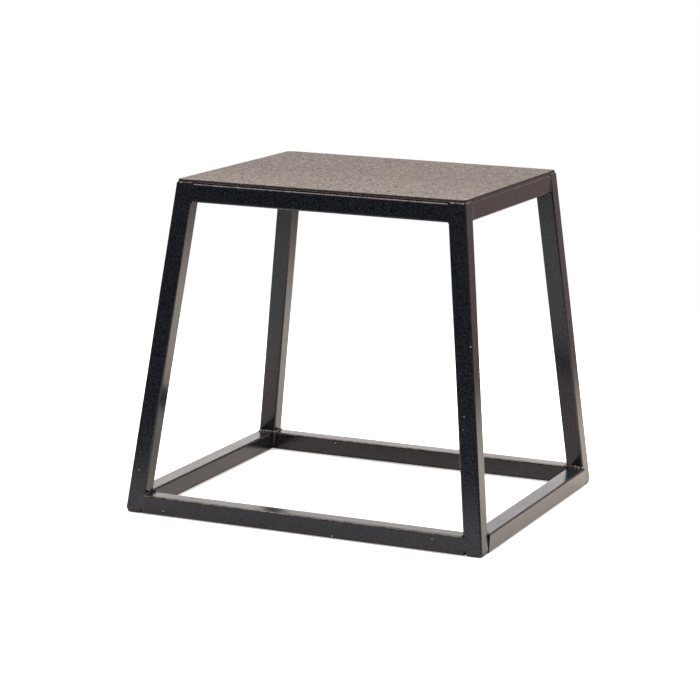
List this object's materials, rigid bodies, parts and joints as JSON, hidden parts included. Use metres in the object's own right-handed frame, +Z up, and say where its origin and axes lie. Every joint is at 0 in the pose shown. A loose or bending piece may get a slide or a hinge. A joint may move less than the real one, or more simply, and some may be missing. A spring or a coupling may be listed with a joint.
{
  "type": "plyo box",
  "caption": "Open steel jump box: a welded square-tube frame that narrows upwards, with plastic foot caps, a sheet deck and a thin non-slip mat on top to land on.",
  "frame": {"origin": "on the floor, below the middle of the box", "axes": "+Z up, +X along the wider side to the right, +Y away from the front"},
  "size_m": [0.512, 0.444, 0.45],
  "materials": {
    "frame_coat": "black satin powder coat with a fine texture, on welded steel tube",
    "weld_coat": "weld beads under the same black powder coat, a little glossier",
    "deck_coat": "black powder coat on sheet steel, only its edge and underside show",
    "mat_rubber": "brownish grey speckled non-slip rubber, matt, fine grain",
    "cap_plastic": "black moulded plastic"
  },
  "bodies": {
    "root": {"base_rail_front": "frame_coat", "base_rail_left": "frame_coat", "base_rail_rear": "frame_coat", "base_rail_right": "frame_coat", "deck_plate": "deck_coat", "deck_tack_welds": "weld_coat", "foot_cap_front_left": "cap_plastic", "foot_cap_front_right": "cap_plastic", "foot_cap_rear_left": "cap_plastic", "foot_cap_rear_right": "cap_plastic", "grip_mat": "mat_rubber", "ground_weld_base_front_left": "weld_coat", "ground_weld_base_front_right": "weld_coat", "ground_weld_base_rear_left": "weld_coat", "ground_weld_base_rear_right": "weld_coat", "ground_weld_top_front_left": "weld_coat", "ground_weld_top_front_right": "weld_coat", "ground_weld_top_rear_left": "weld_coat", "ground_weld_top_rear_right": "weld_coat", "leg_front_left": "frame_coat", "leg_front_right": "frame_coat", "leg_rear_left": "frame_coat", "leg_rear_right": "frame_coat", "top_rail_front": "frame_coat", "top_rail_left": "frame_coat", "top_rail_rear": "frame_coat", "top_rail_right": "frame_coat", "weld_base_front_left": "weld_coat", "weld_base_front_right": "weld_coat", "weld_base_rear_left": "weld_coat", "weld_base_rear_right": "weld_coat", "weld_top_front_left": "weld_coat", "weld_top_front_right": "weld_coat", "weld_top_rear_left": "weld_coat", "weld_top_rear_right": "weld_coat"}
  },
  "joints": []
}
